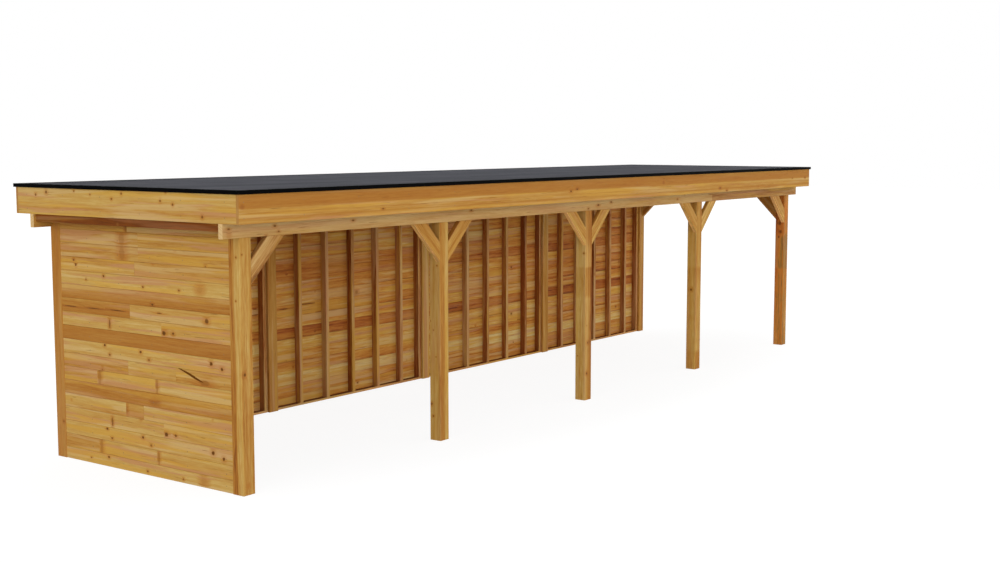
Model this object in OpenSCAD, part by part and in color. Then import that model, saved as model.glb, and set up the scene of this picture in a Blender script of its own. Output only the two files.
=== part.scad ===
// Freestanding timber veranda: a flat roof on two rows of square posts, boarded
// on the back and the left end, open on the front and the right end.
// Origin: centre of the plan, on the ground. +X along the veranda, +Z up.

/* [Roof] */
// Length of the roof over its fascia boards
roof_l = 10000; // [8000:10:12000]
// Width of the roof over its fascia boards
roof_w = 2690; // [2300:10:3300]
// Overhang of the roof past the end posts
over_x = 182; // [175:1:260]
// Overhang of the roof past the front and rear posts
over_y = 200; // [150:1:300]
// Height of a fascia board
fascia_h = 245; // [235:1:280]
// Thickness of a fascia board
fascia_t = 28; // [20:1:32]
// How far a fascia board hangs below the tops of the beams
fascia_lap = 32; // [20:1:60]
// Thickness of a joist
joist_t = 45; // [38:1:60]
// Number of joists across the roof
joist_n = 17; // [11:1:21]
// Thickness of the roof boards
deck_t = 22; // [15:1:24]
// Cover width of a roof board
deck_cover = 96; // [80:1:140]
// Thickness of the roof sheet
sheet_t = 3; // [2:1:5]

/* [Edge trim] */
// How far the trim stands proud of the fascia
trim_proud = 15; // [8:1:25]
// Height of the trim's outer leg
trim_drop = 30; // [20:1:45]
// Height of the trim's top over the fascia
trim_top = 5; // [4:1:8]
// Thickness of the trim where it lies on the roof sheet
trim_t = 3; // [2:0.5:4]
// Width of the trim's inner leg behind the fascia
trim_inner = 17; // [10:1:30]

/* [Frame] */
// Height of the way in under the beams
clear_h = 1967; // [1850:1:2300]
// Side of a square post
post_w = 120; // [110:1:150]
// Width of the chamfer on a post's long edges
post_chamfer = 4; // [2:1:8]
// Height of a beam
beam_h = 145; // [120:1:160]
// Thickness of a beam
beam_t = 45; // [38:1:60]
// How far a beam stands proud of the posts
beam_proud = 20; // [10:1:30]
// How far a beam's end stays inside the fascia's outer face
beam_end_in = 4; // [2:1:12]
// How far the joint between the two pieces of a beam lies beyond the fourth post's middle
scarf_off = 223; // [150:1:300]
// Length of the halved joint between the two pieces of a beam
scarf_l = 90; // [60:1:110]
// Depth of a cross tie between the beams
tie_h = 95; // [80:1:110]
// Thickness of a cross tie
tie_t = 45; // [38:1:60]

// Width of the chamfer on the long edges of the other timbers
edge_ease = 3; // [1:0.5:5]

/* [Knee braces] */
// Height of a brace's foot on its post
brace_foot_z = 1612; // [1500:1:1700]
// Width of a brace
brace_w = 130; // [90:1:140]
// Thickness of a brace
brace_t = 45; // [38:1:60]

/* [Walls] */
// Depth of a wall stud
stud_d = 70; // [60:1:75]
// Thickness of a wall stud
stud_t = 45; // [38:1:60]
// Distance between studs
stud_pitch = 392; // [300:1:600]
// Distance from a wall's first end to its first stud's middle
stud_first = 356; // [200:1:500]
// Height of a wall's sole and head plates
plate_t = 22; // [20:1:45]
// Thickness of the wall boards
board_t = 20; // [16:1:22]
// Cover width of a wall board
board_cover = 116; // [90:1:140]
// Height of the lowest wall board, which is cut to fit
board_first = 101; // [60:1:140]
// Depth of the V at the joint between two boards
board_vee = 3; // [1:0.5:4]
// How far the boards lie behind the outer faces of the posts
board_in = 5; // [2:1:8]

/* [Hidden] */
bays = 4;
post_n = bays + 1;
row_l = roof_l - 2 * over_x;
row_w = roof_w - 2 * over_y;
bay = (row_l - post_w) / bays;
x_first = -row_l / 2;
y_front = -row_w / 2;
y_rear = row_w / 2;
beam_top = clear_h + beam_h;
tie_z = beam_top - tie_h;
fascia_z = beam_top - fascia_lap;
fascia_top = fascia_z + fascia_h;
sheet_top = fascia_top + trim_top - trim_t;
deck_top = sheet_top - sheet_t;
joist_top = deck_top - deck_t;
joist_h = joist_top - beam_top;
inner_l = roof_l - 2 * fascia_t;
inner_w = roof_w - 2 * fascia_t;
housing = beam_t - beam_proud;
beam_l = roof_l - 2 * beam_end_in;
scarf_x = post_x(4) + post_w / 2 + scarf_off;
rear_wall_h = clear_h;
left_wall_h = tie_z;
left_wall_l = row_w - 2 * post_w;
rear_wall_l = bay - post_w;
cut = 1;

// Left face of the post that carries number i.
function post_x(i) = x_first + (i - 1) * bay;

// A box given by its lowest corner and its size.
module block(corner, size) translate(corner) cube(size);

// Section of a timber with its corners cut off at 45 degrees; where top is
// false, only the two lower corners are cut.
module eased_section(w, h, top = true) {
    e = edge_ease;
    upper = top ? [[w, h - e], [w - e, h], [e, h], [0, h - e]] : [[w, h], [0, h]];
    polygon(concat([[0, e], [e, 0], [w - e, 0], [w, e]], upper));
}

// Timbers with eased long edges, each given by its lowest corner and its size:
// one along X, one along Y and one that stands up.
module timber_x(corner, size, top = true) translate(corner) rotate([90, 0, 90])
    linear_extrude(height = size[0]) eased_section(size[1], size[2], top);

module timber_y(corner, size, top = true)
    translate(corner + [0, size[1], 0]) rotate([90, 0, 0])
        linear_extrude(height = size[1]) eased_section(size[0], size[2], top);

module timber_z(corner, size) translate(corner)
    linear_extrude(height = size[2]) eased_section(size[0], size[1]);

// Where the boards of a boarded face meet, along its width.
function board_joints(width, first, cover) =
    [for (v = first; v < width - 4 * board_vee; v = v + cover) v];

// Line across a boarded face that lies at depth x, with a V at each joint that
// goes in by inward, which is positive or negative.
function boarded_line(x, width, joints, inward) = concat(
    [[x, 0]],
    [for (v = joints) each [[x, v - board_vee], [x + inward, v], [x, v + board_vee]]],
    [[x, width]]
);

function reversed(list) = [for (i = [len(list) - 1 : -1 : 0]) list[i]];

// ---- Posts -------------------------------------------------------------

// Square post with chamfered long edges, standing on its foot at the origin.
module post_stick() {
    c = post_chamfer;
    w = post_w;
    linear_extrude(height = beam_top)
        polygon([[c, 0], [w - c, 0], [w, c], [w, w - c], [w - c, w], [c, w], [0, w - c], [0, c]]);
}

// Front post, its outer face cut back at the head so that the beam is let in.
module front_post(i) color("#c08a45") {
    translate([post_x(i), y_front, 0]) difference() {
        post_stick();
        block([-cut, -cut, clear_h], [post_w + 2 * cut, housing + cut, beam_h + cut]);
    }
}

// Rear post, housed the other way round.
module rear_post(i) color("#b98040") {
    translate([post_x(i), y_rear, 0]) mirror([0, 1, 0]) difference() {
        post_stick();
        block([-cut, -cut, clear_h], [post_w + 2 * cut, housing + cut, beam_h + cut]);
    }
}

// ---- Beams -------------------------------------------------------------

// Space that the end fascias take out of a beam's upper corner.
module fascia_notch(end) {
    x = end * (roof_l / 2 - fascia_t / 2);
    block([x - fascia_t / 2 - cut * (1 - end) / 2, -cut, fascia_z],
          [fascia_t + cut, beam_t + 2 * cut, fascia_lap + cut]);
}

// One line of beam from end to end, its outer face at y = 0.
module beam_line() {
    difference() {
        timber_x([-beam_l / 2, 0, clear_h], [beam_l, beam_t, beam_h]);
        fascia_notch(-1);
        fascia_notch(1);
    }
}

// Everything left of the halved joint: the lower half reaches further.
module left_of_scarf() {
    from = [-roof_l, -cut, clear_h - cut];
    depth = beam_t + 2 * cut;
    block(from, [roof_l + scarf_x - scarf_l / 2, depth, beam_h + 2 * cut]);
    block(from, [roof_l + scarf_x + scarf_l / 2, depth, beam_h / 2 + cut]);
}

module beam_long() intersection() {
    beam_line();
    left_of_scarf();
}

module beam_short() difference() {
    beam_line();
    left_of_scarf();
}

// Puts a piece of beam on the front posts, or turned over on the rear posts.
module at_front_beam() translate([0, y_front - beam_proud, 0]) children();
module at_rear_beam() mirror([0, 1, 0]) at_front_beam() children();

module front_beam_long() color("#c29555") at_front_beam() beam_long();
module front_beam_short() color("#b5803f") at_front_beam() beam_short();
module rear_beam_long() color("#b5803f") at_rear_beam() beam_long();
module rear_beam_short() color("#b5803f") at_rear_beam() beam_short();

// ---- Cross ties --------------------------------------------------------

// Tie from beam to beam, outside the posts, with its left face at x.
module end_tie(x) color("#9c6434") {
    span = row_w - 2 * housing;
    timber_y([x, -span / 2, tie_z], [tie_t, span, tie_h]);
}

// Tie from post to post, with its left face at x.
module post_tie(x) color("#9c6434") {
    span = row_w - 2 * post_w;
    timber_y([x, -span / 2, tie_z], [tie_t, span, tie_h]);
}

module left_end_tie() end_tie(-inner_l / 2);
module right_end_tie() end_tie(inner_l / 2 - tie_t);
module left_wall_tie() post_tie(x_first + board_in);
module right_brace_tie() post_tie(post_x(post_n) + post_w - tie_t);

// ---- Knee braces -------------------------------------------------------

// Brace at 45 degrees from a post face at x = 0 up to a level underside at
// z = 0: a stick sawn off plumb at the foot and level at the head.
// leg is the height of the triangle that the brace closes.
module brace(leg) intersection() {
    translate([0, 0, -leg]) rotate([0, -45, 0])
        timber_x([0, 0, 0], [leg * sqrt(2), brace_t, brace_w]);
    rotate([90, 0, 0]) translate([0, 0, -brace_t - cut])
        linear_extrude(height = brace_t + 2 * cut) polygon([[0, -leg], [leg, 0], [0, 0]]);
}

// Braces from front post i towards its neighbours, flush with its front face.
module bay_braces(i) color("#c8995a") {
    leg = clear_h - brace_foot_z;
    if (i < post_n)
        translate([post_x(i) + post_w, y_front, clear_h]) brace(leg);
    if (i > 1)
        translate([post_x(i), y_front, clear_h]) mirror([1, 0, 0]) brace(leg);
}

// Braces across the open right end, below its tie.
module end_braces() color("#a5703a") {
    leg = tie_z - brace_foot_z;
    x = post_x(post_n) + post_w;
    translate([x, y_front + post_w, tie_z]) rotate([0, 0, 90]) brace(leg);
    translate([x, y_rear - post_w, tie_z]) mirror([0, 1, 0]) rotate([0, 0, 90]) brace(leg);
}

// ---- Roof --------------------------------------------------------------

module roof_joists() color("#a97540") {
    step = (inner_l - joist_t) / (joist_n - 1);
    for (k = [0 : joist_n - 1])
        timber_y([-inner_l / 2 + k * step, -inner_w / 2, beam_top], [joist_t, inner_w, joist_h]);
}

// Roof boards along the veranda, their joints showing as Vs from below.
module roof_boards() color("#b78a50") {
    joints = board_joints(inner_w, deck_cover, deck_cover);
    under = [for (p = boarded_line(0, inner_w, joints, board_vee)) [p[1], p[0]]];
    translate([-inner_l / 2, -inner_w / 2, joist_top]) rotate([90, 0, 90])
        linear_extrude(height = inner_l)
            polygon(concat(under, [[inner_w, deck_t], [0, deck_t]]));
}

module roof_sheet() color("#3d3f44")
    block([-inner_l / 2, -inner_w / 2, deck_top], [inner_l, inner_w, sheet_t]);

// Fascia boards: the long ones run through, the short ones fit between them.
module front_fascia() color("#b9793a")
    timber_x([-roof_l / 2, -roof_w / 2, fascia_z], [roof_l, fascia_t, fascia_h],
             top = false);

module rear_fascia() color("#b9793a")
    timber_x([-roof_l / 2, roof_w / 2 - fascia_t, fascia_z], [roof_l, fascia_t, fascia_h],
             top = false);

module left_fascia() color("#d8ab62")
    timber_y([-roof_l / 2, -inner_w / 2, fascia_z], [fascia_t, inner_w, fascia_h],
             top = false);

module right_fascia() color("#b9793a")
    timber_y([roof_l / 2 - fascia_t, -inner_w / 2, fascia_z], [fascia_t, inner_w, fascia_h],
             top = false);

// Section of the edge trim: a cap over the fascia's top edge.
// x runs inwards from the fascia's outer face, y is height over the fascia's top.
module trim_section() {
    inner_foot = sheet_top - fascia_top;
    outer_foot = trim_top - trim_drop;
    polygon([
        [-trim_proud, outer_foot], [-trim_proud, trim_top],
        [fascia_t + trim_inner, trim_top], [fascia_t + trim_inner, inner_foot],
        [fascia_t, inner_foot], [fascia_t, 0], [0, 0], [0, outer_foot]
    ]);
}

// Length of trim along +X for a side of length side_l, mitred at both ends,
// with the fascia's outer face on y = 0 and the roof towards +Y.
module trim_length(side_l) {
    reach = fascia_t + trim_inner;
    intersection() {
        rotate([90, 0, 90]) translate([0, 0, -side_l / 2 - trim_proud])
            linear_extrude(height = side_l + 2 * trim_proud) trim_section();
        translate([0, 0, -fascia_h]) linear_extrude(height = 2 * fascia_h)
            polygon([
                [-side_l / 2 - trim_proud, -trim_proud], [side_l / 2 + trim_proud, -trim_proud],
                [side_l / 2 - reach, reach], [-side_l / 2 + reach, reach]
            ]);
    }
}

// Trim on the side that a turn of the front side by the angle turn leads to;
// side_l is that side's length and away its distance from the roof's middle.
module trim_side(turn, side_l, away) color("#151515")
    rotate([0, 0, turn]) translate([0, -away, fascia_top]) trim_length(side_l);

module front_trim() trim_side(0, roof_l, roof_w / 2);
module right_trim() trim_side(90, roof_w, roof_l / 2);
module rear_trim() trim_side(180, roof_l, roof_w / 2);
module left_trim() trim_side(-90, roof_w, roof_l / 2);

// ---- Walls -------------------------------------------------------------

// Middles of the studs along a wall of length wall_l: regular ones, and one
// that closes the wall against the post at its far end.
function stud_places(wall_l) = concat(
    [for (s = stud_first; s < wall_l - 2 * stud_t; s = s + stud_pitch) s],
    [wall_l - stud_t / 2]
);

// A wall's pieces run along +X from the origin, with the outer faces of the
// posts on y = 0 and the inside of the veranda towards +Y.
module wall_boards(wall_l, wall_h) {
    joints = board_joints(wall_h, board_first, board_cover);
    translate([0, board_in, 0]) rotate([90, 0, 90]) linear_extrude(height = wall_l)
        polygon(concat(boarded_line(0, wall_h, joints, board_vee),
                       reversed(boarded_line(board_t, wall_h, joints, -board_vee))));
}

module wall_plates(wall_l, wall_h) {
    for (z = [0, wall_h - plate_t])
        timber_x([0, board_in + board_t, z], [wall_l, stud_d, plate_t]);
}

module wall_studs(wall_l, wall_h) {
    for (s = stud_places(wall_l))
        timber_z([s - stud_t / 2, board_in + board_t, plate_t],
                 [stud_t, stud_d, wall_h - 2 * plate_t]);
}

// Puts a wall's pieces on the left end, from the rear post to the front post.
module at_left_wall() translate([x_first, y_rear - post_w, 0]) rotate([0, 0, -90]) children();

// Puts a wall's pieces on the back, in bay i.
module at_rear_wall(i) translate([post_x(i) + post_w, y_rear, 0]) mirror([0, 1, 0]) children();

module left_wall_boards() color("#d3a055") at_left_wall() wall_boards(left_wall_l, left_wall_h);
module left_wall_plates() color("#8f5a30") at_left_wall() wall_plates(left_wall_l, left_wall_h);
module left_wall_studs() color("#8f5a30") at_left_wall() wall_studs(left_wall_l, left_wall_h);

module rear_wall_boards(i) color("#a36c38")
    at_rear_wall(i) wall_boards(rear_wall_l, rear_wall_h);

module rear_wall_plates() color("#8f5a30") {
    for (i = [1 : bays])
        at_rear_wall(i) wall_plates(rear_wall_l, rear_wall_h);
}

module rear_wall_studs() color("#8f5a30") {
    for (i = [1 : bays])
        at_rear_wall(i) wall_studs(rear_wall_l, rear_wall_h);
}

// ---- Nodes -------------------------------------------------------------

for (i = [1 : post_n]) {
    front_post(i);
    rear_post(i);
    bay_braces(i);
}
for (i = [1 : bays])
    rear_wall_boards(i);
front_beam_long();
front_beam_short();
rear_beam_long();
rear_beam_short();
left_end_tie();
left_wall_tie();
right_brace_tie();
right_end_tie();
end_braces();
roof_joists();
roof_boards();
roof_sheet();
front_fascia();
rear_fascia();
left_fascia();
right_fascia();
front_trim();
rear_trim();
left_trim();
right_trim();
left_wall_boards();
left_wall_plates();
left_wall_studs();
rear_wall_plates();
rear_wall_studs();
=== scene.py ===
# %% [markdown]
# # A timber veranda, dressed piece by piece
# The frame of this veranda was drawn as solids: posts, beams, braces, joists and boarded
# walls. This lesson loads those solids, gives each timber a grain that runs along it, and
# adds what a joiner would fix to the frame: separate tongued boards, screws and the laps of
# the roof sheet. All lengths are in metres.

# %% Load the frame
import math

import bpy
import numpy as np
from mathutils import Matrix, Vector


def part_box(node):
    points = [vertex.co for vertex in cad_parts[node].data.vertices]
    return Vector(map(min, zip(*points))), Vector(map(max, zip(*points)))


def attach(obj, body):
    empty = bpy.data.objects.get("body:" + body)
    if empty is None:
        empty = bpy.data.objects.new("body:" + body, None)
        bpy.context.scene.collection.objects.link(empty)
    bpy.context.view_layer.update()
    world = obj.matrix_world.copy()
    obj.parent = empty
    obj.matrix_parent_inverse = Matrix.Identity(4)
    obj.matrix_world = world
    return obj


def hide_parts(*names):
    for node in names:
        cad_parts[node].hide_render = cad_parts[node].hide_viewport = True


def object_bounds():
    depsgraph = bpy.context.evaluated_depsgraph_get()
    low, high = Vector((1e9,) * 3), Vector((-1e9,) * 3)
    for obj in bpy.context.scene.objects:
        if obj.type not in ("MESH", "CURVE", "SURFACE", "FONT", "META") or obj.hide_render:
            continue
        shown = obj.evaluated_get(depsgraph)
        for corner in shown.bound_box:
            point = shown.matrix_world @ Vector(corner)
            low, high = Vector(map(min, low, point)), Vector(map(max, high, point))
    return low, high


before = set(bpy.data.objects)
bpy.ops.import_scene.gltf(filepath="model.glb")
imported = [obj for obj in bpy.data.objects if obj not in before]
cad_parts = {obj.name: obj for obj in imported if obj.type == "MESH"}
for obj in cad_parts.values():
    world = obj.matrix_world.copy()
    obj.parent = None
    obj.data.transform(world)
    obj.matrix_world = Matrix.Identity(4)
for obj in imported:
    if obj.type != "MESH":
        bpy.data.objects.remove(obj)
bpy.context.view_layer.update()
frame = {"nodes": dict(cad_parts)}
nodes = frame["nodes"]
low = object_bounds()[0]

# %% [markdown]
# ## Putting things in the scene
# In Blender a mesh, a lamp and a camera are data, and an object shows them somewhere. Every
# new piece's object stays at the origin, with its place in its mesh, and rides on the frame's
# one body.

# %% Objects and pieces
def put(name, data):
    """Object at the origin for a mesh, a lamp or a camera."""
    thing = bpy.data.objects.new(name, data)
    bpy.context.scene.collection.objects.link(thing)
    return thing


def new_piece(name, points, faces, material=None):
    """Piece from an array of points and a list of faces."""
    mesh = bpy.data.meshes.new(name)
    mesh.from_pydata(points.tolist(), [], faces)
    if material:
        mesh.materials.append(material)
    piece = put(name, mesh)
    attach(piece, "root")
    return piece


def grid_faces(rows, columns):
    """Faces of a grid of points, counter-clockwise from above when its rows go along x and
    its columns along y."""
    i, j = np.meshgrid(np.arange(rows - 1), np.arange(columns - 1), indexing="ij")
    a = (i * columns + j).ravel()
    return np.stack([a, a + columns, a + columns + 1, a + 1], 1)


def faces_round(rows, around):
    """Side faces of a stick whose points come in rows, each once around it: face (i, j) joins
    points j and j + 1 of row i to those of row i + 1, and the last point to the first."""
    i, j = np.meshgrid(np.arange(rows - 1), np.arange(around), indexing="ij")
    k = (j + 1) % around
    return np.stack([i * around + j, i * around + k, (i + 1) * around + k,
                     (i + 1) * around + j], -1).reshape(-1, 4)


def stick_middles(name, axis, widest=0.10):
    """Middles of a node's sticks along an axis, from its mesh: sorted places closer than
    widest belong to one stick."""
    along = np.unique(np.round([v.co[axis] for v in nodes[name].data.vertices], 4))
    sticks = np.split(along, np.flatnonzero(np.diff(along) > widest) + 1)
    return np.array([(stick[0] + stick[-1]) / 2 for stick in sticks])


# %% [markdown]
# ## Camera
# The view is from beyond the boarded end, with the eye a little above the roof and a long
# lens, so that the far bays stay large. The eye is measured from the outer foot of the
# first front post: the picture then stays the same wherever the frame's origin lies.

# %% Camera
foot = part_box("front_post_1")[0]
EYE_FROM_FOOT = Vector((-7.053, -7.605, 2.709))
HEADING, DIP = math.radians(53.64), math.radians(5.98)
LENS = 49.41

camera = put("camera", bpy.data.cameras.new("camera"))
camera.data.lens, camera.data.sensor_width = LENS, 36.0
camera.location = Vector((foot.x, foot.y, foot.z)) + EYE_FROM_FOOT
camera.rotation_euler = (math.pi / 2 - DIP, 0.0, -HEADING)
bpy.context.scene.camera = camera
print("eye at", [round(v, 3) for v in camera.location])

# %% [markdown]
# ## Colours and a shorthand for node trees
# A material is a tree of nodes. Written out one by one they fill pages, so a small recipe
# class adds a node per call and gives back its output, and calls can be nested like sums.

# %% Colours and recipes
def tint(red, green, blue):
    """Colour as a screen shows it, 0 to 255, made linear for a shader: c / 12.92 for a dark
    share c, and ((c + 0.055) / 1.055) to the power 2.4 for any other."""
    share = np.array([red, green, blue]) / 255.0
    linear = np.where(share < 0.04, share / 12.92, ((share + 0.055) / 1.055) ** 2.4)
    return (*(float(v) for v in linear), 1.0)


class Recipe:
    """A material whose nodes are added by nested calls; each call gives an output socket."""

    def __init__(self, name):
        self.material = bpy.data.materials.new(name)
        self.material.use_nodes = True
        self.nodes, self.links = self.material.node_tree.nodes, self.material.node_tree.links
        self.shader = self.nodes["Principled BSDF"].inputs

    def set(self, socket, value):
        if isinstance(value, bpy.types.NodeSocket):
            self.links.new(value, socket)
        else:
            socket.default_value = value

    def add(self, kind, inputs, output=0, **settings):
        node = self.nodes.new("ShaderNode" + kind)
        for key, value in settings.items():
            setattr(node, key, value)
        for key, value in inputs.items():
            self.set(node.inputs[key], value)
        return node.outputs[output]

    def place(self):
        """Object coordinates, which are the frame's own metres."""
        return self.add("TexCoord", {}, "Object")

    def part(self, vector, axis):
        return self.add("SeparateXYZ", {0: vector}, axis.upper())

    def finish(self, colour, rough, gloss):
        for name, value in (("Base Color", colour), ("Roughness", rough),
                            ("Specular IOR Level", gloss)):
            self.set(self.shader[name], value)

    def sum(self, operation, *terms):
        return self.add("Math", dict(enumerate(terms)), operation=operation)

    def times(self, first, second):
        return self.sum("MULTIPLY", first, second)

    def linear(self, value, slope, start):
        return self.sum("MULTIPLY_ADD", value, slope, start)

    def vector(self, operation, *terms, output=0):
        return self.add("VectorMath", dict(enumerate(terms)), output, operation=operation)

    def length(self, vector):
        return self.vector("LENGTH", vector, output=1)

    def noise(self, where, turns, detail=2.0, rough=0.5, output="Fac"):
        """Noise with about so many features per metre along each axis of where."""
        inputs = {"Vector": self.vector("MULTIPLY", where, turns), "Scale": 1.0,
                  "Detail": detail, "Roughness": rough}
        return self.add("TexNoise", inputs, output)

    def swing(self, share, amount, base):
        """base + amount (share - 1/2), so that a share of a half changes nothing."""
        return self.linear(self.sum("SUBTRACT", share, 0.5), amount, base)

    def ease(self, value, start, end):
        """0 up to start, 1 from end, and a smooth step between them."""
        inputs = {"Value": value, "From Min": start, "From Max": end}
        return self.add("MapRange", inputs, interpolation_type="SMOOTHSTEP")

    def blend(self, share, first, second):
        return self.add("Mix", {0: share, 6: first, 7: second}, 2, data_type="RGBA")

    def ramp(self, value, stops, between="LINEAR"):
        socket = self.add("ValToRGB", {0: value})
        bar = socket.node.color_ramp
        bar.interpolation = between
        for i, (place, colour) in enumerate(stops):
            stop = bar.elements[i] if i < 2 else bar.elements.new(place)
            stop.position, stop.color = place, colour
        return socket

    def bump(self, height, depth, strength=1.0):
        inputs = {"Height": height, "Distance": depth, "Strength": strength}
        self.set(self.shader["Normal"], self.add("Bump", inputs))


# %% [markdown]
# ## Light and sky
# An even white sky gives the soft studio light. One broad lamp from the left lights the
# boarded end, a low one from the front reaches in under the roof to the back wall, and a
# weaker one from the right puts the soft shade beside the studs. Together they give an
# outer face about the value that its colour is written with. Rays that go straight to the
# camera see a plain white sky.

# %% Light and sky
SKY = 0.60
LAMPS = {
    "left_lamp": (Vector((-1.0, -0.25, 0.20)), 1.04, math.radians(40)),
    "front_lamp": (Vector((-0.28, -1.0, 0.08)), 0.86, math.radians(30)),
    "right_lamp": (Vector((0.9, -1.0, 0.10)), 0.62, math.radians(30)),
}

world = bpy.data.worlds.new("white_studio")
world.use_nodes = True
bpy.context.scene.world = world
bpy.context.scene.view_settings.view_transform = "Standard"


def seen_directly(nodes, links):
    """1 for rays from the camera, off gloss or through glass, and 0 for rays of light."""
    path = nodes.new("ShaderNodeLightPath")
    total = path.outputs["Is Camera Ray"]
    for kind in ("Is Glossy Ray", "Is Transmission Ray"):
        most = nodes.new("ShaderNodeMath")
        most.operation = "MAXIMUM"
        links.new(total, most.inputs[0])
        links.new(path.outputs[kind], most.inputs[1])
        total = most.outputs[0]
    return total


sky_nodes, sky_links = world.node_tree.nodes, world.node_tree.links
level = sky_nodes.new("ShaderNodeMapRange")
level.inputs["To Min"].default_value, level.inputs["To Max"].default_value = SKY, 1.0
sky_links.new(seen_directly(sky_nodes, sky_links), level.inputs["Value"])
sky_links.new(level.outputs["Result"], sky_nodes["Background"].inputs["Strength"])
sky_nodes["Background"].inputs["Color"].default_value = (1.0, 1.0, 1.0, 1.0)

for name, (place, power, spread) in LAMPS.items():
    lamp = put(name, bpy.data.lights.new(name, "SUN"))
    lamp.data.energy, lamp.data.angle = power, spread
    lamp.rotation_euler = (-place).to_track_quat("-Z", "Y").to_euler()

# %% [markdown]
# ## Floor
# The veranda stands on a pale floor that turns into the white of the sky. Close to the posts
# the floor keeps the soft shadow; its own glow, seen by the camera alone, takes over further
# out, so that no horizon shows.

# %% Floor
FLOOR_HALF, FLOOR_STEPS, SHADOW_SHARE, GLOW = 60.0, 24, 0.16, 1.085

span = np.linspace(-FLOOR_HALF, FLOOR_HALF, FLOOR_STEPS + 1)
floor_x, floor_y = np.meshgrid(span, span, indexing="ij")
floor_points = np.stack([floor_x, floor_y, np.full_like(floor_x, low.z - 0.001)], -1)
floor_mesh = bpy.data.meshes.new("floor")
floor_mesh.from_pydata(floor_points.reshape(-1, 3).tolist(), [],
                       grid_faces(len(span), len(span)).tolist())
floor = put("floor", floor_mesh)

paint = Recipe("floor_paint")
paint.finish(tint(232, 231, 229), 0.9, 0.1)
away = paint.vector("MULTIPLY", paint.place(), (0.145, 0.42, 0.0))
near = paint.sum("SUBTRACT", 1.0, paint.ease(paint.length(away), 0.6, 1.5))
glow = paint.sum("SUBTRACT", 1.0, paint.times(near, SHADOW_SHARE))
glow = paint.times(glow, seen_directly(paint.nodes, paint.links))
shine = paint.add("Emission", {"Color": (1.0, 1.0, 1.0, 1.0), "Strength": GLOW})
shader = paint.nodes["Principled BSDF"].outputs[0]
paint.set(paint.nodes["Material Output"].inputs["Surface"],
          paint.add("MixShader", {0: glow, 1: shader, 2: shine}))
floor_mesh.materials.append(paint.material)

# %% [markdown]
# ## How wood is drawn
# Sawn softwood shows growth rings as lines along the board, bands that are paler or more
# orange, short brushed dashes, fine fibres and knots. All of it lives in grain coordinates:
# the first along the timber, the others across it. Bands come from noise stretched along the
# grain, at three widths; ring lines from noise along a single number, the distance from the
# heart of the tree; all of them bend round knots. The sum is looked up in a row of tones.
# Brown heartwood is calmer than pale sapwood, so the contrast falls as the tone darkens.
# Where a timber is sawn off, the face gets the plainer tone of end grain.

# %% Wood recipe
HONEY = [
    (0.00, tint(210, 179, 108)), (0.25, tint(197, 158, 84)), (0.50, tint(189, 141, 67)),
    (0.70, tint(177, 122, 50)), (0.86, tint(168, 108, 40)), (1.00, tint(138, 82, 30)),
]
TAN = [
    (0.00, tint(212, 178, 120)), (0.30, tint(196, 155, 94)), (0.55, tint(181, 133, 74)),
    (0.80, tint(156, 102, 50)), (1.00, tint(104, 60, 28)),
]
AMBER = [
    (0.00, tint(214, 190, 128)), (0.25, tint(208, 166, 86)), (0.50, tint(198, 136, 58)),
    (0.75, tint(178, 106, 42)), (0.90, tint(150, 78, 32)), (1.00, tint(96, 46, 22)),
]
RUSSET = [
    (0.00, tint(178, 118, 56)), (0.50, tint(142, 75, 11)), (1.00, tint(84, 39, 5)),
]
PINKISH = [
    (0.00, tint(208, 164, 106)), (0.45, tint(182, 130, 72)), (0.70, tint(148, 84, 34)),
    (1.00, tint(94, 38, 12)),
]
GINGER = [
    (0.00, tint(172, 126, 72)), (0.34, tint(148, 105, 54)), (0.44, tint(158, 110, 49)),
    (0.56, tint(203, 129, 52)), (0.75, tint(191, 110, 42)), (0.90, tint(160, 84, 32)),
    (1.00, tint(96, 46, 22)),
]
KNOT_HEART, KNOT_RIM, CHECK = tint(102, 60, 6), tint(148, 93, 30), tint(112, 66, 22)
ROSY, GOLDEN, CREAM = tint(192, 138, 94), tint(206, 158, 62), tint(212, 182, 124)
ORANGE = tint(182, 114, 48)
FAR = 9.0
SAWN, SEALED = tint(174, 126, 66), tint(221, 188, 133)
BANDS = (  # turns per metre along and across, detail, share in the tone
    (0.6, 12.0, 2.0, 0.70), (1.8, 52.0, 3.0, 0.62), (9.0, 105.0, 2.0, 0.50),
)


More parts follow.
